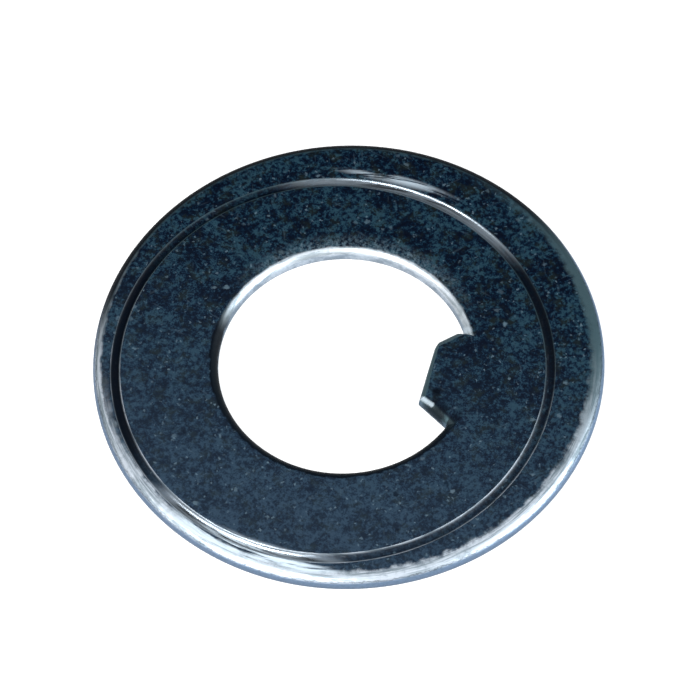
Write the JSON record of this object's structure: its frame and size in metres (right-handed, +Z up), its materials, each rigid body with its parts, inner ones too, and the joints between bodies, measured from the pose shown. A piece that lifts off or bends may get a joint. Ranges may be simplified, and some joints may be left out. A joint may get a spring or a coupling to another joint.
{
  "type": "tab washer",
  "caption": "Round stamped steel washer with a wide tab pointing into its bore, rolled edges, a shallow off-centre ring channel and a dark finish.",
  "frame": {"origin": "middle of the outer rim, on the underside that the washer lies on", "axes": "+Z up out of the punched face with the rolled edges; +X from the bore's middle through the tab"},
  "size_m": [0.052, 0.052, 0.0015],
  "materials": {
    "dark_steel": "dark oxide with bright worn edges"
  },
  "bodies": {
    "root": {"tab_washer": "dark_steel"}
  },
  "joints": []
}
